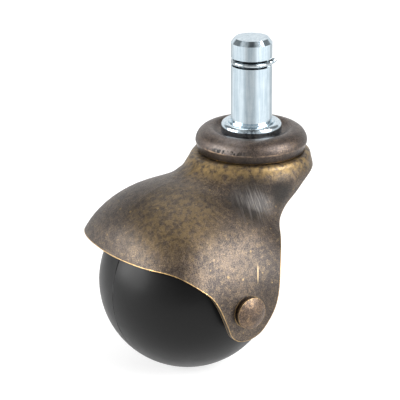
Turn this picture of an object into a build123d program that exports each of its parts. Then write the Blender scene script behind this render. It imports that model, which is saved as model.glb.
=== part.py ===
# Hooded ball castor with a grip ring stem, for furniture legs.
# Origin: the swivel axis at the top face of the stem's collar, which seats against the furniture.
# +Z runs up the stem, the wheel trails towards -X, and the axle lies along Y.
from build123d import *
import os
from math import acos, degrees


os.makedirs("parts", exist_ok=True)

# Stem
stem_diameter = 11.11
stem_length = 22.75
stem_head_length = 5.3
stem_chamfer_height = 1.3
stem_chamfer_width = 1.0
groove_width = 2.2
groove_radius = 4.25
collar_radius = 8.2
collar_thickness = 3.25
collar_round = 1.3
collar_step_radius = 6.3
collar_step_height = 0.35
neck_radius = 4.75
tenon_radius = 3.6
peen_radius = 5.6
peen_height = 1.9

# Grip ring, a split ring of spring wire
wire_diameter = 1.35
grip_lift = 0.95
grip_start_angle = -6.0
grip_turn = 306.0
grip_tail_length = 1.6
grip_tail_reach = 0.95
grip_tail_rise = 0.6

# Top cup, the pressed upper race
cup_sheet = 1.2
cup_radius = 15.05
cup_lip_inset = 0.65
cup_roll_radius = 3.7
race_inset = 3.85
cup_crown_height = 1.2
cup_depth = 5.95
cup_inner_gap = 0.4

# Upper ball race
bearing_ball_diameter = 3.97
bearing_ball_count = 12
race_clearance = 0.05
bearing_ball_drop = 3.35

# Wheel, a hollow ball moulded in two halves
ball_diameter = 47.6
wheel_trail = 20.9
wheel_headroom = 17.55
ball_wall = 2.6
hub_boss_radius = 5.2
hub_boss_height = 2.0
hub_tube_radius = 5.6
rib_count = 6
rib_thickness = 1.8
seam_chamfer = 0.2

# Axle rivet, its bushing and washers
axle_diameter = 4.76
axle_fit = 0.05
rivet_head_radius = 4.25
rivet_head_height = 2.9
rivet_rim_height = 1.9
rivet_rim_thickness = 0.5
rivet_foot_radius = 3.3
rivet_foot_height = 1.0
spot_face_depth = 0.3
formed_head_radius = 4.2
formed_head_height = 1.9
bushing_wall = 1.1
washer_radius = 5.0
washer_thickness = 1.0
washer_flat_margin = 0.3
side_clearance = 0.25

# Hood, pressed from one sheet
hood_sheet = 1.4
hood_top_gap = 3.7
hood_front_gap = 1.2
hood_squareness = 2.35
hood_collar_margin = 0.85
hood_collar_swell = 0.8
hood_collar_waist = 0.9
hood_shoulder_gap = 0.3
hood_shoulder_round = 1.5
neck_fillet_share = 0.4
stem_hole_clearance = 0.4
plate_lift = 1.2
plate_gap = 0.3
lower_race_gap = 0.9
lower_race_thickness = 1.6
lower_race_clearance = 0.1

# Places that follow from the sizes above
stem_radius = stem_diameter / 2
wire_radius = wire_diameter / 2
ball_radius = ball_diameter / 2
bearing_ball_radius = bearing_ball_diameter / 2
axle_radius = axle_diameter / 2
bushing_bore = axle_radius + axle_fit
bushing_radius = bushing_bore + bushing_wall
groove_height = stem_length - stem_head_length - groove_width

cup_lip_radius = cup_radius - cup_lip_inset
cup_crown_radius = cup_radius - cup_roll_radius
cup_inner_edge_radius = collar_radius + cup_inner_gap
race_radius = cup_radius - race_inset

cup_web_top = -collar_thickness
crown_z = cup_web_top + cup_crown_height
cup_equator_z = crown_z - cup_roll_radius
cup_lip_z = crown_z - cup_depth
bearing_ball_z = crown_z - bearing_ball_drop
shoulder_z = cup_lip_z - hood_shoulder_gap
plate_top = shoulder_z + plate_lift
plate_bottom = plate_top - hood_sheet
plate_radius = cup_lip_radius - cup_sheet - plate_gap
lower_race_radius = plate_radius - hood_sheet - lower_race_gap
hood_collar_radius = cup_radius + hood_collar_margin
lower_race_top = plate_bottom - lower_race_clearance
lower_race_bottom = lower_race_top - lower_race_thickness

hub_face = ball_radius + hub_boss_height
washer_inner = hub_face + side_clearance
pad_inner = washer_inner + washer_thickness
hood_half_width = pad_inner + hood_sheet
pad_outer = hood_half_width - spot_face_depth
axle_drop = ball_radius + wheel_headroom
hood_half_height = ball_radius + hood_top_gap + hood_sheet
hood_reach = ball_radius + hood_front_gap + hood_sheet
neck_fillet = neck_fillet_share * ball_radius
beyond = 4 * ball_radius

axle_point = Vector(-wheel_trail, 0, -axle_drop)
axle_plane = Plane(axle_point, x_dir=(1, 0, 0), z_dir=(0, -1, 0))


def cap_middle(radius, height):
    """A point half-way out on a spherical cap: its distance from the axis and its height."""
    sphere = (radius**2 + height**2) / (2 * height)
    return radius / 2, (sphere**2 - (radius / 2) ** 2) ** 0.5 - sphere + height


# Stem: pin, groove, collar, neck and peened tenon turned from one bar
with BuildPart() as stem:
    with BuildSketch(Plane.XZ):
        with BuildLine():
            Polyline(
                (0, lower_race_bottom),
                (tenon_radius, lower_race_bottom),
                (tenon_radius, lower_race_top),
                (neck_radius, lower_race_top),
                (neck_radius, -collar_thickness),
                (collar_radius, -collar_thickness),
                (collar_radius, 0),
                (stem_radius, 0),
                (stem_radius, groove_height),
                (groove_radius, groove_height),
                (groove_radius, groove_height + groove_width),
                (stem_radius, groove_height + groove_width),
                (stem_radius, stem_length - stem_chamfer_height),
                (stem_radius - stem_chamfer_width, stem_length),
                (0, stem_length),
                (0, lower_race_bottom),
            )
        make_face()
    revolve(axis=Axis.Z)
    # The step ring at the foot of the pin lies inside the rounded rim of the collar
    with BuildSketch(Plane.XY.offset(-collar_step_height)):
        Circle(collar_radius)
        Circle(collar_step_radius, mode=Mode.SUBTRACT)
    extrude(amount=collar_step_height, mode=Mode.SUBTRACT)
    collar_rim = stem.edges().filter_by(GeomType.CIRCLE).filter_by(
        lambda e: abs(e.radius - collar_radius) < 1e-4
    )
    fillet(collar_rim.sort_by(Axis.Z)[-1], radius=collar_round)
    # The tenon is peened over the lower race
    with BuildSketch(Plane.XZ):
        with BuildLine():
            middle_x, middle_rise = cap_middle(peen_radius, peen_height)
            Line((0, lower_race_bottom), (peen_radius, lower_race_bottom))
            ThreePointArc(
                (peen_radius, lower_race_bottom),
                (middle_x, lower_race_bottom - middle_rise),
                (0, lower_race_bottom - peen_height),
            )
            Line((0, lower_race_bottom - peen_height), (0, lower_race_bottom))
        make_face()
    revolve(axis=Axis.Z)
stem.part.label = "stem"
export_step(stem.part, "parts/stem.step")


# Grip ring: split spring wire in the groove, with one end bent out
grip_z = groove_height + grip_lift
grip_path_radius = groove_radius + wire_radius + 0.02
with BuildPart() as grip_ring:
    with BuildLine(Plane.XY.offset(grip_z)) as grip_path:
        hoop = CenterArc((0, 0), grip_path_radius, grip_start_angle, grip_turn)
    with BuildLine() as tail_path:
        outwards = (hoop @ 1 - Vector(0, 0, grip_z)).normalized()
        tail_end = hoop @ 1 + (hoop % 1) * grip_tail_length + outwards * grip_tail_reach
        tail_end = Vector(tail_end.X, tail_end.Y, grip_z + grip_tail_rise)
        Spline(hoop @ 1, tail_end, tangents=(hoop % 1, (hoop % 1) + Vector(0, 0, 0.5)))
    with BuildLine() as grip_wire:
        add(grip_path.line)
        add(tail_path.line)
    with BuildSketch(Plane(origin=grip_wire.wire() @ 0, z_dir=grip_wire.wire() % 0)):
        Circle(wire_radius)
    sweep(path=grip_wire.wire())
grip_ring.part.label = "grip_ring"
export_step(grip_ring.part, "parts/grip_ring.step")


# Top cup: pressed ring whose crown is the upper race
with BuildPart() as top_cup:
    with BuildSketch(Plane.XZ):
        with BuildLine():
            Line((neck_radius, cup_web_top), (cup_inner_edge_radius, cup_web_top))
            Spline(
                (cup_inner_edge_radius, cup_web_top),
                (cup_crown_radius, crown_z),
                tangents=((1, 0.1), (1, 0)),
            )
            CenterArc((cup_crown_radius, cup_equator_z), cup_roll_radius, 0, 90)
            Polyline(
                (cup_radius, cup_equator_z),
                (cup_lip_radius, cup_lip_z),
                (cup_lip_radius - cup_sheet, cup_lip_z),
                (cup_radius - cup_sheet, cup_equator_z),
            )
            CenterArc((cup_crown_radius, cup_equator_z), cup_roll_radius - cup_sheet, 0, 90)
            Spline(
                (cup_crown_radius, crown_z - cup_sheet),
                (cup_inner_edge_radius + 0.45, cup_web_top - cup_sheet),
                tangents=((-1, 0), (-0.8, -0.6)),
            )
            Polyline(
                (cup_inner_edge_radius + 0.45, cup_web_top - cup_sheet),
                (neck_radius, cup_web_top - cup_sheet),
                (neck_radius, cup_web_top),
            )
        make_face()
    revolve(axis=Axis.Z)
top_cup.part.label = "top_cup"
export_step(top_cup.part, "parts/top_cup.step")


# Upper race balls: a full ring between the cup's crown and the hood's groove
for index in range(bearing_ball_count):
    turn = 360 * index / bearing_ball_count
    with BuildPart() as bearing_ball:
        with Locations(Plane.XY.offset(bearing_ball_z)):
            with PolarLocations(race_radius, 1, start_angle=turn):
                Sphere(bearing_ball_radius)
    bearing_ball.part.label = f"bearing_ball_{index + 1:02d}"
    export_step(bearing_ball.part, f"parts/bearing_ball_{index + 1:02d}.step")


def dome_half_height(x):
    """Half-height of the dome's section at a distance x from the axle."""
    return hood_half_height * (1 - (abs(x) / hood_reach) ** hood_squareness) ** (1 / hood_squareness)


def dome_half_width(x):
    """Half-width of the dome's section, fuller than a ball so that the legs run straight."""
    return hood_half_width * (1 - (abs(x) / hood_reach) ** 5) ** 0.5


def by_ball(across, up):
    """A point in the side view, in shares of the ball's radius from the axle."""
    return axle_point.X + across * ball_radius, axle_point.Z + up * ball_radius


def by_collar(across, down):
    """A point in the side view, in shares of the collar's radius from the swivel axis and the shoulder."""
    return across * hood_collar_radius, shoulder_z - down * hood_collar_radius


def rear_edge(overrun):
    """Side view of the hood's rear edge, from the leg's tip to the collar, moved out by overrun."""
    points = (
        by_ball(0.238, -0.26),
        by_ball(0.383, 0.0),
        by_ball(0.49, 0.379),
        by_ball(0.67, 0.687),
        by_ball(0.868, 0.855),
        by_collar(0.19, 0.62),
        by_collar(0.382, 0.4),
        by_collar(0.68, 0.285),
        by_collar(1.38, 0.19),
    )
    moved = [(x + overrun, z - overrun) for x, z in points]
    return Spline(moved, tangents=((0.58, 0.82), (1, 0.2)))


def hood_form(inset, overrun):
    """Dome and collar joined by a filleted neck, reduced by inset and left long by overrun."""
    ax, az = axle_point.X, axle_point.Z
    collar = hood_collar_radius - inset
    collar_top = shoulder_z + 0.8 * hood_collar_radius
    with BuildPart() as form:
        # Dome: elliptical sections along the trail, centred on the axle
        for share in (0.8, 0.66, 0.5, 0.28, 0, -0.28, -0.53, -0.71, -0.85, -0.965):
            x = share * hood_reach
            with BuildSketch(Plane.YZ.offset(ax + share * (hood_reach - inset))):
                with Locations((0, az)):
                    Ellipse(dome_half_width(x) - inset, dome_half_height(x) - inset)
        loft()
        # Collar: turned round the swivel axis, swelling to its shoulder and drawn in below it
        with BuildSketch(Plane.XZ):
            with BuildLine():
                Polyline((0, az), (0, collar_top), (0.975 * collar, collar_top), (collar, shoulder_z))
                Spline(
                    (collar, shoulder_z),
                    (collar + hood_collar_swell, shoulder_z - 0.32 * hood_collar_radius),
                    (collar - hood_collar_waist, shoulder_z - 0.66 * hood_collar_radius),
                    (collar - 2.9, shoulder_z - 1.76 * hood_collar_radius),
                    tangents=((0.04, -1), (0, -1)),
                )
                Polyline((collar - 2.9, shoulder_z - 1.76 * hood_collar_radius), (collar - 2.9, az), (0, az))
            make_face()
        revolve(axis=Axis.Z)
        # Rough cut behind the legs, a little beyond the rear edge
        with BuildSketch(Plane.XZ):
            with BuildLine():
                edge = rear_edge(overrun)
                Polyline(
                    edge @ 1,
                    (beyond, (edge @ 1).Y),
                    (beyond, beyond),
                    (-beyond, beyond),
                    (-beyond, -beyond),
                    ((edge @ 0).X, -beyond),
                    edge @ 0,
                )
            make_face()
        extrude(amount=2 * hood_half_width, both=True, mode=Mode.INTERSECT)
        # The neck edges run from the front of the collar back to the rough cut
        neck_edges = (
            form.edges()
            .filter_by(GeomType.BSPLINE)
            .filter_by(lambda e: abs(e.bounding_box().min.X + collar + hood_collar_swell) < 0.8)
            .filter_by(lambda e: e.bounding_box().min.Z > az + 0.34 * ball_radius)
            .filter_by(lambda e: e.bounding_box().max.X < 0.25 * hood_collar_radius)
        )
        fillet(neck_edges, radius=neck_fillet + inset)
        # The top is cut flat at the shoulder, with the raised plate that carries the race
        with Locations((0, 0, shoulder_z - inset)):
            Box(beyond, beyond, beyond, align=(Align.CENTER, Align.CENTER, Align.MIN), mode=Mode.SUBTRACT)
        if inset == 0:
            shoulder = form.faces().sort_by(Axis.Z)[-1]
            fillet(shoulder.edges(), radius=hood_shoulder_round)
        with Locations((0, 0, shoulder_z - inset)):
            Cylinder(plate_radius - inset, plate_lift, align=(Align.CENTER, Align.CENTER, Align.MIN))
    return form.part


# Hood: one pressed sheet, dome, visor and two legs below a collar
outer_form = hood_form(0, 1.0)
inner_form = hood_form(hood_sheet, 2.0)
with BuildPart() as hood:
    add(outer_form)
    add(inner_form, mode=Mode.SUBTRACT)
    # Side view: the visor's lower edge, the tip of each leg, and the rear edge up to the collar
    with BuildSketch(Plane.XZ):
        with BuildLine():
            front = Spline(
                by_ball(-1.4, 0.49),
                by_ball(-1.06, 0.51),
                by_ball(-0.826, 0.51),
                by_ball(-0.611, 0.382),
                by_ball(-0.444, 0.231),
                by_ball(-0.351, 0.063),
                by_ball(-0.23, -0.207),
                tangents=((1, 0), (0.42, -0.91)),
            )
            ThreePointArc(front @ 1, by_ball(0.013, -0.374), by_ball(0.238, -0.26))
            back = rear_edge(0)
            Polyline(back @ 1, (beyond, (back @ 1).Y), (beyond, beyond), (-beyond, beyond))
            Polyline((-beyond, beyond), (-beyond, (front @ 0).Y), front @ 0)
        make_face()
    extrude(amount=2 * hood_half_width, both=True, mode=Mode.INTERSECT)
    # Hole for the stem's neck, and the groove that the balls run in
    with Locations((0, 0, plate_bottom - hood_sheet)):
        Cylinder(
            neck_radius + stem_hole_clearance,
            4 * hood_sheet,
            align=(Align.CENTER, Align.CENTER, Align.MIN),
            mode=Mode.SUBTRACT,
        )
    with BuildSketch(Plane.XZ):
        with Locations((race_radius, bearing_ball_z)):
            Circle(bearing_ball_radius + race_clearance)
    revolve(axis=Axis.Z, mode=Mode.SUBTRACT)
    # Flats round the axle: inside for each washer, outside for each rivet head, and the holes
    with BuildSketch(axle_plane.offset(-pad_inner)):
        Circle(washer_radius + washer_flat_margin)
    extrude(amount=2 * pad_inner, mode=Mode.SUBTRACT)
    with BuildSketch(axle_plane.offset(pad_outer), axle_plane.offset(-pad_outer - 2 * spot_face_depth)):
        Circle(rivet_head_radius)
    extrude(amount=2 * spot_face_depth, mode=Mode.SUBTRACT)
    with BuildSketch(axle_plane.offset(-hood_half_width)):
        Circle(axle_radius)
    extrude(amount=2 * hood_half_width, mode=Mode.SUBTRACT)
hood.part.label = "hood"
export_step(hood.part, "parts/hood.step")


# Lower race: a hardened washer that the peened tenon holds under the hood's plate
with BuildPart() as lower_race:
    with Locations((0, 0, lower_race_bottom)):
        Cylinder(
            lower_race_radius,
            lower_race_thickness,
            align=(Align.CENTER, Align.CENTER, Align.MIN),
        )
    Hole(tenon_radius)
    chamfer(lower_race.edges().filter_by(GeomType.CIRCLE).sort_by(SortBy.RADIUS)[-2:], length=0.35)
lower_race.part.label = "lower_race"
export_step(lower_race.part, "parts/lower_race.step")


# Axle: a rivet with a domed head on the near leg and a formed head on the far leg
head_plane = Plane(axle_point, x_dir=(1, 0, 0), z_dir=(0, 0, 1))
with BuildPart() as axle:
    with BuildSketch(head_plane):
        with BuildLine():
            near_rim = -pad_outer - rivet_rim_height
            near_dome = rivet_head_height - rivet_rim_height
            near_x, near_rise = cap_middle(rivet_head_radius, near_dome)
            far_x, far_rise = cap_middle(formed_head_radius, formed_head_height)
            Line((0, near_rim - near_dome), (0, pad_outer + formed_head_height))
            ThreePointArc(
                (0, pad_outer + formed_head_height),
                (far_x, pad_outer + far_rise),
                (formed_head_radius, pad_outer),
            )
            Polyline(
                (formed_head_radius, pad_outer),
                (axle_radius, pad_outer),
                (axle_radius, -pad_outer),
                (rivet_foot_radius, -pad_outer),
                (rivet_foot_radius, -pad_outer - rivet_foot_height),
                (rivet_head_radius, near_rim + rivet_rim_thickness),
                (rivet_head_radius, near_rim),
            )
            ThreePointArc(
                (rivet_head_radius, near_rim),
                (near_x, near_rim - near_rise),
                (0, near_rim - near_dome),
            )
        make_face()
    revolve(axis=Axis(axle_point, (0, 1, 0)))
axle.part.label = "axle"
export_step(axle.part, "parts/axle.step")


# Axle washers: one between the wheel's hub and each leg
for side, name in ((-1, "axle_washer_near"), (1, "axle_washer_far")):
    with BuildPart() as axle_washer:
        with BuildSketch(axle_plane.offset(-side * washer_inner)):
            Circle(washer_radius)
            Circle(axle_radius, mode=Mode.SUBTRACT)
        extrude(amount=-side * washer_thickness)
    axle_washer.part.label = name
    export_step(axle_washer.part, f"parts/{name}.step")


# Wheel bushing: a steel tube through both halves, running on the axle
with BuildPart() as wheel_bushing:
    with BuildSketch(axle_plane.offset(-hub_face)):
        Circle(bushing_radius)
        Circle(bushing_bore, mode=Mode.SUBTRACT)
    extrude(amount=2 * hub_face)
wheel_bushing.part.label = "wheel_bushing"
export_step(wheel_bushing.part, "parts/wheel_bushing.step")


def cavity_angle(radius, inner):
    """Angle at which an arc of this radius about the ball's centre reaches the tube of radius inner."""
    return degrees(acos(inner / radius))


# Wheel halves: hollow ribbed mouldings joined on the ball's mid-plane
cavity_radius = ball_radius - ball_wall
rib_bite = 0.3
for side, name in ((-1, "wheel_half_near"), (1, "wheel_half_far")):
    # The section's x runs out from the axle, and its y runs along the axle from the seam
    section = Plane(axle_point, x_dir=(1, 0, 0), z_dir=(0, 0, side))
    boss_seat = (ball_radius**2 - hub_boss_radius**2) ** 0.5
    tube_end = (cavity_radius**2 - hub_tube_radius**2) ** 0.5
    with BuildPart() as wheel_half:
        with BuildSketch(section):
            with BuildLine():
                start = cavity_angle(ball_radius, (ball_radius**2 - seam_chamfer**2) ** 0.5)
                stop = cavity_angle(ball_radius, hub_boss_radius)
                skin = CenterArc((0, 0), ball_radius, start, stop - start)
                Polyline(
                    (hub_boss_radius, boss_seat),
                    (hub_boss_radius, hub_face),
                    (bushing_radius, hub_face),
                    (bushing_radius, 0),
                    (hub_tube_radius, 0),
                    (hub_tube_radius, tube_end),
                )
                CenterArc((0, 0), cavity_radius, 0, cavity_angle(cavity_radius, hub_tube_radius))
                Polyline((cavity_radius, 0), (ball_radius - seam_chamfer, 0), skin @ 0)
            make_face()
        revolve(axis=Axis(axle_point, (0, 1, 0)))
        # Ribs stand between the hub tube and the wall, as deep as the cavity
        for index in range(rib_count):
            with BuildSketch(section.rotated((0, 360 * index / rib_count, 0))):
                with BuildLine():
                    foot = hub_tube_radius - rib_bite
                    reach = cavity_radius + rib_bite
                    Line((foot, 0), (reach, 0))
                    CenterArc((0, 0), reach, 0, cavity_angle(reach, foot))
                    Line((foot, (reach**2 - foot**2) ** 0.5), (foot, 0))
                make_face()
            extrude(amount=rib_thickness / 2, both=True)
    wheel_half.part.label = name
    export_step(wheel_half.part, f"parts/{name}.step")
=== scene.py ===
from math import radians

import bmesh
import bpy
from mathutils import Matrix, Vector


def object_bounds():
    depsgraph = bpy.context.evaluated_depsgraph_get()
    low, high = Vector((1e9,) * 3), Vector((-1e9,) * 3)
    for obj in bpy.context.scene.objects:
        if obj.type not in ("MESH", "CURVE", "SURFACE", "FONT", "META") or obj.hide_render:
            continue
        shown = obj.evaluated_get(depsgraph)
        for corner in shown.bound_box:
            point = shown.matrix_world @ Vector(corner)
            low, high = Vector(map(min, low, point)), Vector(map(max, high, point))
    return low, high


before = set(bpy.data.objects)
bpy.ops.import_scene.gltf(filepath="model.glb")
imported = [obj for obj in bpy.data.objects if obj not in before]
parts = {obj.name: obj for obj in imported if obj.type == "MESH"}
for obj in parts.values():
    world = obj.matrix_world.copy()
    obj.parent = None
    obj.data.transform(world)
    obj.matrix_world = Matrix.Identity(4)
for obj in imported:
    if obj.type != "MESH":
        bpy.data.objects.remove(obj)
cad_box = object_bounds()
MM = 0.001


# Node building

def fill(tree, made, inputs):
    """Gives each named input of a node a plain value or another node's output."""
    for key, value in inputs.items():
        if isinstance(value, bpy.types.NodeSocket):
            tree.links.new(value, made.inputs[key])
        else:
            made.inputs[key].default_value = value


def node(tree, kind, inputs, **settings):
    """Adds a node with its settings and inputs."""
    made = tree.nodes.new("ShaderNode" + kind)
    for name, value in settings.items():
        setattr(made, name, value)
    fill(tree, made, inputs)
    return made


def sums(tree, operation, first, second=0.0):
    """A Math node's output."""
    return node(tree, "Math", {0: first, 1: second}, operation=operation).outputs[0]


def times(tree, first, second):
    """The product of two values."""
    return sums(tree, "MULTIPLY", first, second)


def plus(tree, first, second):
    """The sum of two values."""
    return sums(tree, "ADD", first, second)


def minus(tree, first, second):
    """The first value less the second."""
    return sums(tree, "SUBTRACT", first, second)


def larger(tree, first, second):
    """The larger of two values."""
    return sums(tree, "MAXIMUM", first, second)


def one_over(tree, size):
    """The scale that gives a pattern this size."""
    return sums(tree, "DIVIDE", 1.0, size)


def away_from(tree, value, middle):
    """How far a value lies from the middle, on either side."""
    return sums(tree, "ABSOLUTE", minus(tree, value, middle))


def vectors(tree, operation, first, second=(0, 0, 0)):
    """A Vector Math node."""
    return node(tree, "VectorMath", {0: first, 1: second}, operation=operation)


def scaled(tree, place, factors):
    """A place with each coordinate multiplied by its own factor."""
    return vectors(tree, "MULTIPLY", place, factors).outputs[0]


def along(tree, place, direction):
    """How far a place, or how squarely a direction, lies along the given direction."""
    return vectors(tree, "DOT_PRODUCT", place, direction).outputs["Value"]


def height_of(tree, place):
    """The height of a place over the face of the stem's collar, where the frame has its zero."""
    return node(tree, "SeparateXYZ", {0: place}).outputs[2]


def fade(tree, value, low, high, out_low=0.0, out_high=1.0):
    """Maps low..high smoothly onto out_low..out_high."""
    inputs = {"Value": value, 1: low, 2: high, 3: out_low, 4: out_high}
    return node(tree, "MapRange", inputs, interpolation_type="SMOOTHSTEP").outputs[0]


def fade_out(tree, value, full, gone):
    """1 where the value is at full, falling smoothly to 0 where it is at gone."""
    return fade(tree, value, full, gone, 1.0, 0.0)


def near(tree, place, centre, reach):
    """1 within a quarter of the reach of a centre, falling to 0 at the reach; both are in millimetres."""
    apart = vectors(tree, "DISTANCE", place, Vector(centre) * MM).outputs["Value"]
    return fade_out(tree, apart, 0.25 * reach * MM, reach * MM)


def blend_colours(tree, share, first, second):
    """Mixes two colours; the share is a value or an output."""
    return node(tree, "Mix", {0: share, 6: first, 7: second}, data_type="RGBA").outputs[2]


def tinge(tree, colour, mask, strength, tone):
    """Brings a tone into a colour where the mask is 1, up to the given strength."""
    return blend_colours(tree, times(tree, mask, strength), colour, tone)


def noise(tree, place, scale, detail, roughness=0.6, warp=0.0):
    """Noise with this many lumps to a unit of the place."""
    inputs = {"Vector": place, "Scale": scale, "Detail": detail, "Roughness": roughness, "Distortion": warp}
    return node(tree, "TexNoise", inputs).outputs["Fac"]


def cloud(tree, place, size, detail=4.0):
    """Noise whose clouds are about size metres across."""
    return noise(tree, place, 1 / size, detail)


def object_place(tree):
    """The point on the surface in the part's own frame."""
    return node(tree, "TexCoord", {}).outputs["Object"]


def bump(tree, height, depth, normal=None):
    """A Bump node's normal; a height of 1 stands depth metres proud."""
    inputs = {"Height": height, "Distance": depth, "Strength": 1.0}
    if normal is not None:
        inputs["Normal"] = normal
    return node(tree, "Bump", inputs).outputs[0]


def start_group(name, inputs, outputs):
    """A shader node group; inputs are (name, kind, value), and outputs are names of plain values."""
    tree = bpy.data.node_groups.new(name, "ShaderNodeTree")
    for label, kind, value in inputs:
        socket = tree.interface.new_socket(name=label, in_out="INPUT", socket_type="NodeSocket" + kind)
        if value is not None:
            socket.default_value = value
    for label in outputs:
        tree.interface.new_socket(name=label, in_out="OUTPUT", socket_type="NodeSocketFloat")
    given = tree.nodes.new("NodeGroupInput").outputs
    result = tree.nodes.new("NodeGroupOutput")
    return tree, given, result


def use(tree, group, inputs):
    """Places a group in a material and gives its outputs."""
    return node(tree, "Group", inputs, node_tree=group).outputs


def hue(text):
    """A colour written as a hex triple, turned to linear light."""
    steps = [int(text[i:i + 2], 16) / 255 for i in (0, 2, 4)]
    return tuple(s / 12.92 if s <= 0.04045 else ((s + 0.055) / 1.055) ** 2.4 for s in steps) + (1.0,)


# Shared effects

def tarnish_group():
    """Mottled tarnish: a tone from slow, middling and quick clouds, with thin squiggles, spots and pits."""
    tree, given, result = start_group(
        "Mottled tarnish",
        [("Place", "Vector", None), ("Cloud size", "Float", 8 * MM), ("Cloud depth", "Float", 0.4),
         ("Speckle size", "Float", 0.32 * MM), ("Spot share", "Float", 0.3)],
        ["Tone", "Squiggles", "Spots", "Pits"],
    )
    middling_depth = 0.22
    quick_depth = 0.65
    place = given["Place"]
    moved = vectors(tree, "ADD", place, (0.31, 0.17, 0.53)).outputs[0]
    slow_scale = one_over(tree, given["Cloud size"])
    quick_scale = one_over(tree, given["Speckle size"])
    middling_scale = times(tree, quick_scale, 0.22)
    curl_scale = times(tree, quick_scale, 0.7)

    slow = fade(tree, noise(tree, place, slow_scale, detail=4.0, warp=0.3), 0.33, 0.67)
    slow = times(tree, minus(tree, slow, 0.5), given["Cloud depth"])
    middling = fade(tree, noise(tree, moved, middling_scale, detail=3.0, warp=0.4), 0.36, 0.64)
    quick = noise(tree, place, quick_scale, detail=2.0, warp=1.0)
    tone = plus(tree, slow, times(tree, middling, middling_depth))
    tone = plus(tree, tone, times(tree, fade(tree, quick, 0.37, 0.63), quick_depth))

    curls = noise(tree, moved, curl_scale, detail=1.0, roughness=0.5, warp=1.2)
    squiggles = fade_out(tree, away_from(tree, curls, 0.5), 0.004, 0.028)
    squiggles = times(tree, squiggles, fade(tree, plus(tree, middling, slow), 0.25, 0.85))
    spot_start = minus(tree, 0.72, given["Spot share"])
    spots = fade(tree, times(tree, middling, quick), spot_start, 0.8)
    pits = fade(tree, noise(tree, moved, quick_scale, detail=2.0), 0.56, 0.68)
    fill(tree, result, {"Tone": tone, "Squiggles": squiggles, "Spots": spots, "Pits": pits})
    return tree


def scratch_group():
    """Fine scratches: thin streaks along three directions."""
    tree, given, result = start_group(
        "Fine scratches",
        [("Place", "Vector", None), ("Width", "Float", 0.12 * MM), ("Length", "Float", 4 * MM),
         ("Amount", "Float", 0.5)],
        ["Scratches"],
    )
    turns = ((0.2, 0.1, 0.4), (1.1, 0.5, -0.6), (-0.5, 1.3, 1.9))
    edge_width = 0.06
    narrow = one_over(tree, given["Width"])
    scale = node(tree, "CombineXYZ", {0: narrow, 1: narrow, 2: one_over(tree, given["Length"])}).outputs[0]
    edge = minus(tree, 0.78, times(tree, given["Amount"], 0.16))
    found = 0.0
    for turn in turns:
        turned = node(tree, "VectorRotate", {"Vector": given["Place"], "Rotation": turn},
                      rotation_type="EULER_XYZ").outputs[0]
        streak = noise(tree, scaled(tree, turned, scale), 1.0, detail=1.0, roughness=0.4)
        found = larger(tree, found, fade(tree, streak, edge, plus(tree, edge, edge_width)))
    fill(tree, result, {"Scratches": found})
    return tree


def wear_group():
    """Worn edges: where the surface turns within the given width, broken up by noise."""
    tree, given, result = start_group(
        "Worn edges",
        [("Place", "Vector", None), ("Width", "Float", 0.4 * MM), ("Breakup size", "Float", 1.5 * MM),
         ("Breakup", "Float", 0.5)],
        ["Wear"],
    )
    rounded = node(tree, "Bevel", {"Radius": given["Width"]}, samples=8).outputs[0]
    straight = node(tree, "NewGeometry", {}).outputs["Normal"]
    turned = minus(tree, 1.0, along(tree, rounded, straight))
    broken = noise(tree, given["Place"], one_over(tree, given["Breakup size"]), detail=4.0)
    kept = times(tree, fade(tree, broken, 0.35, 0.62), given["Breakup"])
    kept = plus(tree, kept, minus(tree, 1.0, given["Breakup"]))
    fill(tree, result, {"Wear": times(tree, fade(tree, turned, 0.02, 0.16), kept)})
    return tree


def turning_group():
    """Turning marks: fine rings on faces across the stem's axis and fine lines round the sides."""
    tree, given, result = start_group(
        "Turning marks",
        [("Place", "Vector", None), ("Pitch", "Float", 0.2 * MM)],
        ["Marks"],
    )
    x, y, z = node(tree, "SeparateXYZ", {0: given["Place"]}).outputs
    radius = sums(tree, "SQRT", plus(tree, times(tree, x, x), times(tree, y, y)))
    scale = one_over(tree, given["Pitch"])
    lines = node(tree, "CombineXYZ", {0: times(tree, radius, scale), 1: times(tree, z, scale)}).outputs[0]
    fill(tree, result, {"Marks": noise(tree, lines, 1.0, detail=3.0, roughness=0.7)})
    return tree


def speck_group():
    """Specks: small round spots scattered at random, such as dust or plating nibs."""
    tree, given, result = start_group(
        "Specks",
        [("Place", "Vector", None), ("Spacing", "Float", 3 * MM), ("Share", "Float", 0.3),
         ("Size", "Float", 0.06)],
        ["Specks"],
    )
    cells = node(tree, "TexVoronoi", {"Vector": given["Place"], "Scale": one_over(tree, given["Spacing"])})
    chance, other_chance, _ = node(tree, "SeparateColor", {0: cells.outputs["Color"]}).outputs
    chosen = sums(tree, "LESS_THAN", chance, given["Share"])
    size = times(tree, given["Size"], plus(tree, other_chance, 0.4))
    spot = fade(tree, cells.outputs["Distance"], size, times(tree, size, 0.5))
    fill(tree, result, {"Specks": times(tree, spot, chosen)})
    return tree


tarnish = tarnish_group()
scratches = scratch_group()
edge_wear = wear_group()
turning = turning_group()
specks = speck_group()


# Materials

def start_material(name):
    """A material with its Principled shader, and the place on the surface."""
    made = bpy.data.materials.new(name)
    made.use_nodes = True
    tree = made.node_tree
    return made, tree, tree.nodes["Principled BSDF"], object_place(tree)


def dress(material, *names):
    """Puts the material on every slot of the named CAD nodes."""
    for name in names:
        mesh = parts[name].data
        if not mesh.materials:
            mesh.materials.append(material)
        for index in range(len(mesh.materials)):
            mesh.materials[index] = material


# Antique brass

PIT_BROWN = hue("2b241f")
WORN_GOLD = hue("d8b274")
# Painted shade, used on the hood's visor and leg and on the ring's front
SHADED_BROWN = hue("241f1c")
PLATE_GRAIN = 0.03 * MM
SCRATCH_DEPTH = 0.01 * MM


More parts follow.
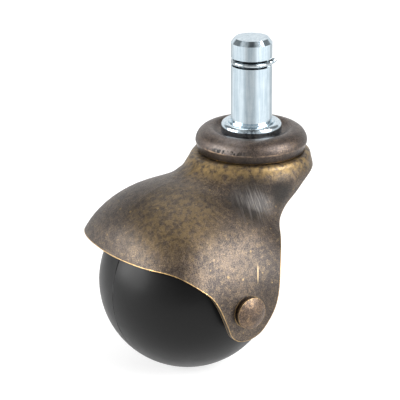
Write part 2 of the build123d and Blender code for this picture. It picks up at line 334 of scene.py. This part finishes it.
def antique_brass(name, dark, middle, gold, cloud_size, cloud_depth, spot_share, worn_width, rough,
                  touches=None):
    """Brass plate darkened to a mottled brown, with the gold showing in specks and along worn edges."""
    made, tree, shader, place = start_material(name)
    tone, squiggles, spots, pits = use(tree, tarnish, {
        "Place": place, "Cloud size": cloud_size, "Cloud depth": cloud_depth, "Spot share": spot_share,
    })
    lines = use(tree, scratches, {"Place": place, "Amount": 0.45})["Scratches"]
    worn = use(tree, edge_wear, {"Place": place, "Width": worn_width})["Wear"]

    colour = blend_colours(tree, fade(tree, tone, 0.0, 1.0), dark, middle)
    colour = blend_colours(tree, larger(tree, times(tree, squiggles, 0.55), spots), colour, gold)
    colour = tinge(tree, colour, pits, strength=0.45, tone=PIT_BROWN)
    colour = tinge(tree, colour, lines, strength=0.4, tone=gold)
    roughness = fade(tree, tone, 0.0, 1.0, rough + 0.09, rough - 0.04)
    if touches:
        colour, roughness = touches(tree, place, colour, roughness)
    colour = blend_colours(tree, worn, colour, WORN_GOLD)
    roughness = minus(tree, roughness, times(tree, worn, 0.12))

    grain = plus(tree, tone, times(tree, pits, -0.6))
    normal = bump(tree, grain, PLATE_GRAIN)
    normal = bump(tree, times(tree, lines, -1.0), SCRATCH_DEPTH, normal)
    fill(tree, shader, {"Base Color": colour, "Roughness": roughness, "Normal": normal, "Metallic": 0.9,
                        "Coat Weight": 0.4, "Coat Roughness": 0.4, "Coat IOR": 1.6})
    return made


# The hood's own marks and painted shade: heights, and centres with their reaches, in millimetres

HOOD_COLLAR_FOOT = -13.5
HOOD_COLLAR_TOP = -9.5
YELLOW_DOME = ((-33, -11, -18), 17)
SHADED_VISOR = ((-36, -2, -15), 20)
SHADED_LEG = ((-10, -26, -36), 16)
SIDE_HOLLOW = ((-2, -16, -16), 6)
NECK_HOLLOW = ((-11, -15, -17), 10)
BRUSHED_PLACE = ((-11, -16, -18), 8)
LEG_MARK = ((-17, -27, -32), 3)
LEG_MARK_ACROSS = 1.1

# Directions on the hood: level across the near leg, then across and along the slanted brush strokes
ACROSS_LEG = (0.83, -0.56, 0.0)
ACROSS_STROKES = (0.83, -0.56, 0.35)
ALONG_STROKES = (-0.3, 0.2, 0.93)
STROKES_PER_METRE = 3000.0
STROKE_ENDS_PER_METRE = 200.0

YELLOW_BRASS = hue("9c8150")
GLINT_GOLD = hue("b99a5e")
HOLLOW_SHADE_BROWN = hue("1d1916")
STROKE_GREY = hue("5f5955")
LEG_MARK_GOLD = hue("cfb488")


def yellowed_and_shaded(tree, place, colour):
    """Yellower brass on the collar and the dome, and painted shade on the visor and the leg."""
    mottle = fade(tree, cloud(tree, place, 1.3 * MM, detail=5.0), 0.36, 0.63, 0.05, 1.0)
    collar = fade(tree, height_of(tree, place), HOOD_COLLAR_FOOT * MM, HOOD_COLLAR_TOP * MM)
    dome = near(tree, place, *YELLOW_DOME)
    yellow = larger(tree, times(tree, collar, 0.75), times(tree, dome, 0.45))
    colour = tinge(tree, colour, yellow, strength=mottle, tone=YELLOW_BRASS)
    # Painted shade on the visor and the leg
    shaded = larger(tree, near(tree, place, *SHADED_VISOR), near(tree, place, *SHADED_LEG))
    return tinge(tree, colour, shaded, strength=0.35, tone=SHADED_BROWN)


def brushed_strokes(tree, place):
    """Slanted brush strokes in the hollow under the collar."""
    across = along(tree, place, ACROSS_STROKES)
    down = along(tree, place, ALONG_STROKES)
    grain = node(tree, "CombineXYZ", {0: times(tree, across, STROKES_PER_METRE),
                                      1: times(tree, down, STROKE_ENDS_PER_METRE)}).outputs[0]
    strokes = fade(tree, noise(tree, grain, 1.0, detail=2.0, roughness=0.5), 0.46, 0.62)
    return times(tree, strokes, near(tree, place, *BRUSHED_PLACE))


def hood_touches(tree, place, colour, roughness):
    """The hood's tones, glints, painted shade on the visor, the leg and the hollows beside and under the
    collar, brush strokes under the collar, and one upright mark on the leg.
    """
    colour = yellowed_and_shaded(tree, place, colour)
    glints = use(tree, specks, {"Place": place, "Spacing": 2.2 * MM, "Share": 0.35, "Size": 0.16})["Specks"]
    colour = tinge(tree, colour, glints, strength=0.35, tone=GLINT_GOLD)
    # Painted shade in the hollows beside and under the collar
    hollow = larger(tree, near(tree, place, *SIDE_HOLLOW), near(tree, place, *NECK_HOLLOW))
    colour = tinge(tree, colour, hollow, strength=0.9, tone=HOLLOW_SHADE_BROWN)
    roughness = plus(tree, roughness, times(tree, hollow, 0.12))
    colour = tinge(tree, colour, brushed_strokes(tree, place), strength=0.6, tone=STROKE_GREY)
    off_mark = away_from(tree, along(tree, place, ACROSS_LEG), LEG_MARK_ACROSS * MM)
    mark = times(tree, fade_out(tree, off_mark, 0.05 * MM, 0.2 * MM), near(tree, place, *LEG_MARK))
    colour = tinge(tree, colour, mark, strength=0.7, tone=LEG_MARK_GOLD)
    return colour, roughness


# The ring's own marks, painted sheen and painted shade: heights, and centres with their reaches, in
# millimetres

SHEEN_PLACE = ((-12.8, -7.5, -4.3), 7)
DIM_PLACE = ((-6.5, -13.5, -4.6), 6)
CREASE_HEIGHT = -5.75
CREASE_HIGHLIGHT = ((-14.5, -4.1, -5.7), 8)
NICKED_PLACE = ((-13.2, -6.4, -5.2), 8)
NICKS_FOOT = -5.7
NICKS_TOP = -4.3
SHADOW_FOOT = -7.8
SHADOW_TOP = -5.8

NICKS_PER_METRE = (2200.0, 2200.0, 500.0)
SHEEN_GREY = hue("a39a95")
CREASE_TAN = hue("b0957a")
NICK_BLACK = hue("050404")
SHADOW_BLACK = hue("0d0a09")


def crease_line(tree, place, height):
    """The fine bright line of the crease, broken along its run, with a painted highlight making it
    brightest at the near left.
    """
    line = fade_out(tree, away_from(tree, height, CREASE_HEIGHT * MM), 0.08 * MM, 0.3 * MM)
    broken = fade(tree, cloud(tree, place, 1.2 * MM), 0.4, 0.6, 0.15, 1.0)
    # Painted highlight on the crease at the near left
    brightness = plus(tree, 0.4, times(tree, near(tree, place, *CREASE_HIGHLIGHT), 0.5))
    return times(tree, times(tree, line, broken), brightness)


def crease_nicks(tree, place, height):
    """Short upright nicks just above the crease."""
    nicks = noise(tree, scaled(tree, place, NICKS_PER_METRE), 1.0, detail=1.0, roughness=0.5)
    above = times(tree, fade(tree, height, NICKS_FOOT * MM, (NICKS_FOOT + 0.2) * MM),
                  fade_out(tree, height, (NICKS_TOP - 0.5) * MM, NICKS_TOP * MM))
    return times(tree, times(tree, fade(tree, nicks, 0.5, 0.55), above), near(tree, place, *NICKED_PLACE))


def ring_touches(tree, place, colour, roughness):
    """The ring's painted sheen at the near left and painted shade at the front, its crease line and dark
    nicks, and the shadow below.
    """
    height = height_of(tree, place)
    # Painted sheen, mottled, on the ring's near left
    mottle = fade(tree, cloud(tree, place, 0.9 * MM), 0.35, 0.65, 0.5, 1.0)
    sheen = times(tree, near(tree, place, *SHEEN_PLACE), mottle)
    colour = tinge(tree, colour, sheen, strength=0.36, tone=SHEEN_GREY)
    # Painted shade on the ring's front
    colour = tinge(tree, colour, near(tree, place, *DIM_PLACE), strength=0.35, tone=SHADED_BROWN)
    colour = blend_colours(tree, crease_line(tree, place, height), colour, CREASE_TAN)
    colour = blend_colours(tree, crease_nicks(tree, place, height), colour, NICK_BLACK)
    shadow = fade_out(tree, height, SHADOW_FOOT * MM, SHADOW_TOP * MM)
    colour = tinge(tree, colour, shadow, strength=0.6, tone=SHADOW_BLACK)
    return colour, roughness


# Plated steel

NIB_GREY = hue("7d8488")
STREAKS_PER_METRE = (1800.0, 1800.0, 70.0)


def plated_steel(name, light, dull, rough, pitch, mark_depth, touches=None):
    """Bright plated steel with turning marks, upright streaks and slight clouding."""
    made, tree, shader, place = start_material(name)
    marks = use(tree, turning, {"Place": place, "Pitch": pitch})["Marks"]
    haze = cloud(tree, place, 4 * MM, detail=5.0)
    nibs = use(tree, specks, {"Place": place, "Spacing": 1.6 * MM, "Share": 0.25, "Size": 0.08})["Specks"]
    streaks = noise(tree, scaled(tree, place, STREAKS_PER_METRE), 1.0, detail=3.0, roughness=0.5)
    dulled = plus(tree, times(tree, fade(tree, haze, 0.35, 0.7), 0.4),
                  times(tree, fade(tree, streaks, 0.4, 0.62), 0.6))
    colour = blend_colours(tree, dulled, light, dull)
    colour = tinge(tree, colour, nibs, strength=0.5, tone=NIB_GREY)
    roughness = fade(tree, haze, 0.3, 0.7, rough - 0.02, rough + 0.03)
    if touches:
        colour, roughness = touches(tree, place, colour, roughness)
    normal = bump(tree, marks, mark_depth)
    fill(tree, shader, {"Base Color": colour, "Roughness": roughness, "Normal": normal, "Metallic": 1.0})
    return made


# The stem's own marks and painted shade: heights and radii, and centres with their reaches, in millimetres

GROOVE_HEIGHT = 16.35
GROOVE_HALF_WIDTH = 1.1
GROOVE_RADIUS = 5.2
GROOVE_SOFTNESS = 0.2
COLLAR_SIDE_TOP = -1.2
COLLAR_SIDE_FULL = -1.8
SPECKLED_SHADE_PLACE = ((-5.2, -6.3, -1.9), 3)

GROOVE_SHADE_GREY = hue("22272b")
COLLAR_SHADE_BLUE = hue("7f90a3")
SPECKLED_SHADE_BLUE = hue("3c4450")


def stem_touches(tree, place, colour, roughness):
    """Painted shade in the stem's groove, and on its collar side, darker and bluer, speckled at the front.
    """
    height = height_of(tree, place)
    # Painted shade in the groove
    radius = vectors(tree, "LENGTH", scaled(tree, place, (1.0, 1.0, 0.0))).outputs["Value"]
    inside = fade_out(tree, radius, GROOVE_RADIUS * MM, (GROOVE_RADIUS + GROOVE_SOFTNESS) * MM)
    off_groove = away_from(tree, height, GROOVE_HEIGHT * MM)
    level = fade_out(tree, off_groove, GROOVE_HALF_WIDTH * MM, (GROOVE_HALF_WIDTH + GROOVE_SOFTNESS) * MM)
    colour = tinge(tree, colour, times(tree, inside, level), strength=0.8, tone=GROOVE_SHADE_GREY)
    # Painted shade on the collar's side, darker and bluer
    side = fade_out(tree, height, COLLAR_SIDE_FULL * MM, COLLAR_SIDE_TOP * MM)
    colour = tinge(tree, colour, side, strength=0.6, tone=COLLAR_SHADE_BLUE)
    # Speckled painted shade on the collar's side at the front
    speckle = fade(tree, cloud(tree, place, 0.6 * MM, detail=2.0), 0.42, 0.58)
    speckled_shade = times(tree, speckle, near(tree, place, *SPECKLED_SHADE_PLACE))
    colour = tinge(tree, colour, speckled_shade, strength=0.7, tone=SPECKLED_SHADE_BLUE)
    return colour, roughness


# Black nylon

NYLON_DEEP = hue("050505")
NYLON_PALE = hue("090909")
DUST_GREY = hue("8b8b8b")
SCUFF_GREY = hue("4a4a4a")
MOULD_GRAIN = 0.012 * MM


def black_nylon():
    """Satin black moulded plastic with faint clouds, dust specks, fine scratches and a scuffed seam."""
    made, tree, shader, place = start_material("Black nylon")
    fine = cloud(tree, place, 0.6 * MM, detail=3.0)
    broad = cloud(tree, place, 9 * MM, detail=3.0)
    dust = use(tree, specks, {"Place": place, "Spacing": 3.5 * MM, "Share": 0.2, "Size": 0.035})["Specks"]
    lines = use(tree, scratches, {"Place": place, "Width": 0.1 * MM, "Length": 6 * MM, "Amount": 0.25})
    colour = blend_colours(tree, fade(tree, broad, 0.3, 0.7), NYLON_DEEP, NYLON_PALE)
    colour = tinge(tree, colour, dust, strength=0.6, tone=DUST_GREY)
    # The two halves of the wheel meet in the plane y = 0
    off_seam = sums(tree, "ABSOLUTE", node(tree, "SeparateXYZ", {0: place}).outputs[1])
    scuff = times(tree, fade_out(tree, off_seam, 0.2 * MM, 0.4 * MM), fade(tree, broad, 0.35, 0.6))
    colour = tinge(tree, colour, scuff, strength=0.8, tone=SCUFF_GREY)
    roughness = fade(tree, broad, 0.3, 0.7, 0.34, 0.42)
    roughness = plus(tree, roughness, times(tree, lines["Scratches"], 0.2))
    normal = bump(tree, fine, MOULD_GRAIN)
    fill(tree, shader, {"Base Color": colour, "Roughness": roughness, "Normal": normal,
                        "Specular IOR Level": 0.26})
    return made


hood_brass = antique_brass(
    "Antique brass hood", dark=hue("2e2521"), middle=hue("5e5146"), gold=hue("ad9163"), cloud_size=11 * MM,
    cloud_depth=0.35, spot_share=0.14, worn_width=0.6 * MM, rough=0.4, touches=hood_touches,
)
ring_brass = antique_brass(
    "Antique brass ring", dark=hue("382e29"), middle=hue("62544c"), gold=hue("927a59"), cloud_size=9 * MM,
    cloud_depth=0.25, spot_share=0.1, worn_width=0.3 * MM, rough=0.34, touches=ring_touches,
)
rivet_brass = antique_brass(
    "Antique brass rivet", dark=hue("3a2e26"), middle=hue("755f4d"), gold=hue("b39060"), cloud_size=4 * MM,
    cloud_depth=0.3, spot_share=0.2, worn_width=0.3 * MM, rough=0.36,
)
zinc = plated_steel(
    "Blue zinc plate", light=hue("dfedf5"), dull=hue("bfd1dc"), rough=0.13, pitch=0.2 * MM,
    mark_depth=0.006 * MM, touches=stem_touches,
)
wire_zinc = plated_steel(
    "Spring wire", light=hue("ccd4d8"), dull=hue("98a4aa"), rough=0.16, pitch=0.5 * MM,
    mark_depth=0.004 * MM,
)
race_steel = plated_steel(
    "Race steel", light=hue("b9bcbe"), dull=hue("8f9294"), rough=0.28, pitch=0.3 * MM,
    mark_depth=0.008 * MM,
)
nylon = black_nylon()

dress(hood_brass, "hood")
dress(ring_brass, "top_cup")
dress(rivet_brass, "axle")
dress(zinc, "stem")
dress(wire_zinc, "grip_ring")
dress(race_steel, "lower_race", "axle_washer_near", "axle_washer_far", "wheel_bushing")
dress(race_steel, *[name for name in parts if name.startswith("bearing_ball")])
dress(nylon, "wheel_half_near", "wheel_half_far")


# Floor, in metres

FLOOR_REACH = 3.0
FLOOR_GAP = 0.05 * MM
FLOOR_PALENESS = 0.45
FLOOR_GLOW = 0.7
FRONT_WAY = Vector((-0.672, -0.741, 0.0))
SHADE_START = 0.12
SHADE_FULL = 0.18
WHITE = (1.0, 1.0, 1.0, 1.0)


def floor_shade(tree):
    """The light lost on the floor, which bright metal shows as soft bands: most in front, some behind."""
    flat = scaled(tree, object_place(tree), (1, 1, 0))
    reach = vectors(tree, "LENGTH", flat).outputs["Value"]
    ahead = along(tree, vectors(tree, "NORMALIZE", flat).outputs[0], FRONT_WAY)
    front = fade(tree, ahead, 0.74, 0.98, 0.73, 0.41)
    corners = larger(tree, fade(tree, ahead, -0.8, -0.4, 0.7, 1.0), fade_out(tree, ahead, -0.97, -0.85))
    lost = minus(tree, 1.0, times(tree, front, corners))
    return times(tree, lost, fade(tree, reach, SHADE_START, SHADE_FULL))


def white_floor():
    """Shows white to the camera and to glossy metal, with the castor's shadow on it."""
    made = bpy.data.materials.new("White floor")
    made.use_nodes = True
    tree = made.node_tree
    rays = node(tree, "LightPath", {}).outputs
    shade = minus(tree, 1.0, times(tree, floor_shade(tree), rays["Is Glossy Ray"]))
    mirrored = larger(tree, rays["Is Glossy Ray"], rays["Is Transmission Ray"])
    seen = larger(tree, rays["Is Camera Ray"], mirrored)
    pale = times(tree, shade, FLOOR_PALENESS)
    tint = node(tree, "CombineColor", {0: pale, 1: pale, 2: pale}).outputs[0]
    glow = times(tree, times(tree, seen, shade), FLOOR_GLOW)
    fill(tree, tree.nodes["Principled BSDF"], {
        "Base Color": tint, "Emission Color": WHITE, "Emission Strength": glow,
        "Roughness": 0.9, "Specular IOR Level": 0.0,
    })
    return made


def studio_floor():
    """A wide pale floor just under the wheel."""
    shape = bmesh.new()
    bmesh.ops.create_grid(shape, x_segments=1, y_segments=1, size=FLOOR_REACH)
    bmesh.ops.translate(shape, verts=shape.verts, vec=(0, 0, cad_box[0].z - FLOOR_GAP))
    mesh = bpy.data.meshes.new("floor")
    shape.to_mesh(mesh)
    shape.free()
    mesh.materials.append(white_floor())
    floor = bpy.data.objects.new("floor", mesh)
    bpy.context.scene.collection.objects.link(floor)


# Lights and camera, in metres

def softbox(name, place, aim, width, height, power):
    """A rectangular soft light."""
    lamp = bpy.data.lights.new(name, "AREA")
    lamp.shape = "RECTANGLE"
    lamp.size = width
    lamp.size_y = height
    lamp.energy = power
    shown = bpy.data.objects.new(name, lamp)
    shown.location = place
    shown.rotation_euler = (Vector(aim) - Vector(place)).to_track_quat("-Z", "Y").to_euler()
    bpy.context.scene.collection.objects.link(shown)


BEHIND_WAY = Vector((0.56, 0.83, 0.0))
# Darker parts of the room: the way to each, the cosines at its rim and its core, and the light left in it.
# The first lies broadly over the camera, the second overhead, and the others high up on either side.
ROOM_SHADES = (
    ((-0.44, -0.55, 0.71), 0.66, 0.96, 0.5),
    ((-0.19, -0.28, 0.94), 0.94, 0.975, 0.2),
    ((0.787, -0.128, 0.604), 0.88, 0.95, 0.3),
    ((-0.413, 0.682, 0.604), 0.88, 0.95, 0.3),
)


def studio_world():
    """A pale surround, a little brighter behind the castor, with darker parts that bright metal shows."""
    world = bpy.data.worlds.new("studio")
    bpy.context.scene.world = world
    world.use_nodes = True
    tree = world.node_tree
    towards = node(tree, "TexCoord", {}).outputs["Generated"]
    level = fade(tree, along(tree, towards, BEHIND_WAY), 0.2, 0.9, 0.75, 0.95)
    for way, rim, core, left in ROOM_SHADES:
        level = times(tree, level, fade(tree, along(tree, towards, Vector(way)), rim, core, 1.0, left))
    fill(tree, tree.nodes["Background"], {"Strength": level, "Color": WHITE})


CAMERA_PLACE = Vector((-0.35613, -0.50044, 0.19786))
CAMERA_AIM = Vector((-0.01673, 0.0, -0.01971))
CAMERA_ROLL = radians(-0.18)
LENS_MM = 216.37
SENSOR_MM = 36.0


def studio_camera():
    """The photograph's viewpoint: a long lens, 34 degrees round from the side and 20 degrees up."""
    data = bpy.data.cameras.new("camera")
    data.lens = LENS_MM
    data.sensor_width = SENSOR_MM
    data.clip_start = 0.05
    data.clip_end = 20.0
    camera = bpy.data.objects.new("camera", data)
    level = (CAMERA_AIM - CAMERA_PLACE).to_track_quat("-Z", "Y").to_matrix()
    turned = level @ Matrix.Rotation(CAMERA_ROLL, 3, "Z")
    camera.matrix_world = Matrix.Translation(CAMERA_PLACE) @ turned.to_4x4()
    bpy.context.scene.collection.objects.link(camera)
    bpy.context.scene.camera = camera


studio_floor()
studio_world()
softbox("left softbox", place=(-0.68, 0.28, 0.16), aim=(-0.01, 0, -0.03), width=0.62, height=0.4, power=5.3)
softbox("right softbox", place=(0.30, -0.61, 0.32), aim=(-0.01, 0, -0.02), width=0.5, height=0.6, power=9.3)
softbox("top softbox", place=(0.05, 0.26, 0.78), aim=(-0.01, 0, -0.02), width=0.6, height=0.6, power=1.2)
studio_camera()
bpy.context.scene.view_settings.view_transform = "Standard"
